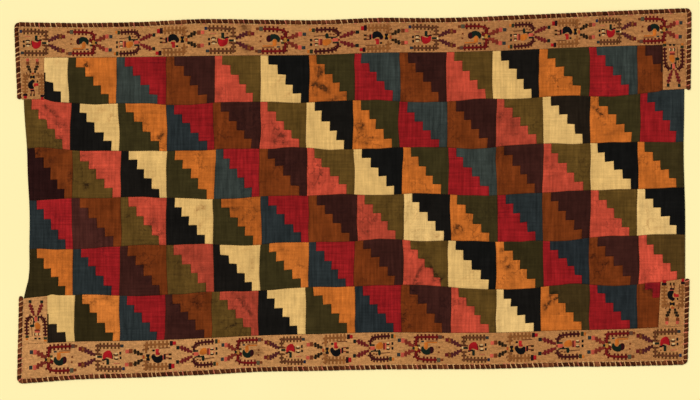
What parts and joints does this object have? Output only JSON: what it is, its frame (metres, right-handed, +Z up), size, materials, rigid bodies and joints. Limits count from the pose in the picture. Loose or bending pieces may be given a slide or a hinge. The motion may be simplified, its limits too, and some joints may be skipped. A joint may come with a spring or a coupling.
{
  "type": "funerary mantle",
  "caption": "Large flat rectangular ceremonial cloth: checkered centre field with stepped diagonals, embroidered border bands with corner tabs, and a padded edging round each band.",
  "frame": {"origin": "middle of the cloth's box on the surface it lies on", "axes": "+X along the mantle, from its left short side to its right one as the picture shows it; +Y across it, towards the picture's upper border; +Z up, out of the decorated face"},
  "size_m": [2.6012, 1.441, 0.006],
  "materials": {
    "field_wool": "matte plain-weave wool in ten dyed colours",
    "border_wool": "matte undyed tan plain-weave wool with coloured embroidery",
    "edging_wool": "matte looped wool in dark maroon blocks and thin cream bars"
  },
  "bodies": {
    "root": {"field": "field_wool", "border_band_upper": "border_wool", "border_band_lower": "border_wool", "border_tab_upper_left": "border_wool", "border_tab_upper_right": "border_wool", "border_tab_lower_left": "border_wool", "border_tab_lower_right": "border_wool", "edging_upper": "edging_wool", "edging_lower": "edging_wool"}
  },
  "joints": []
}
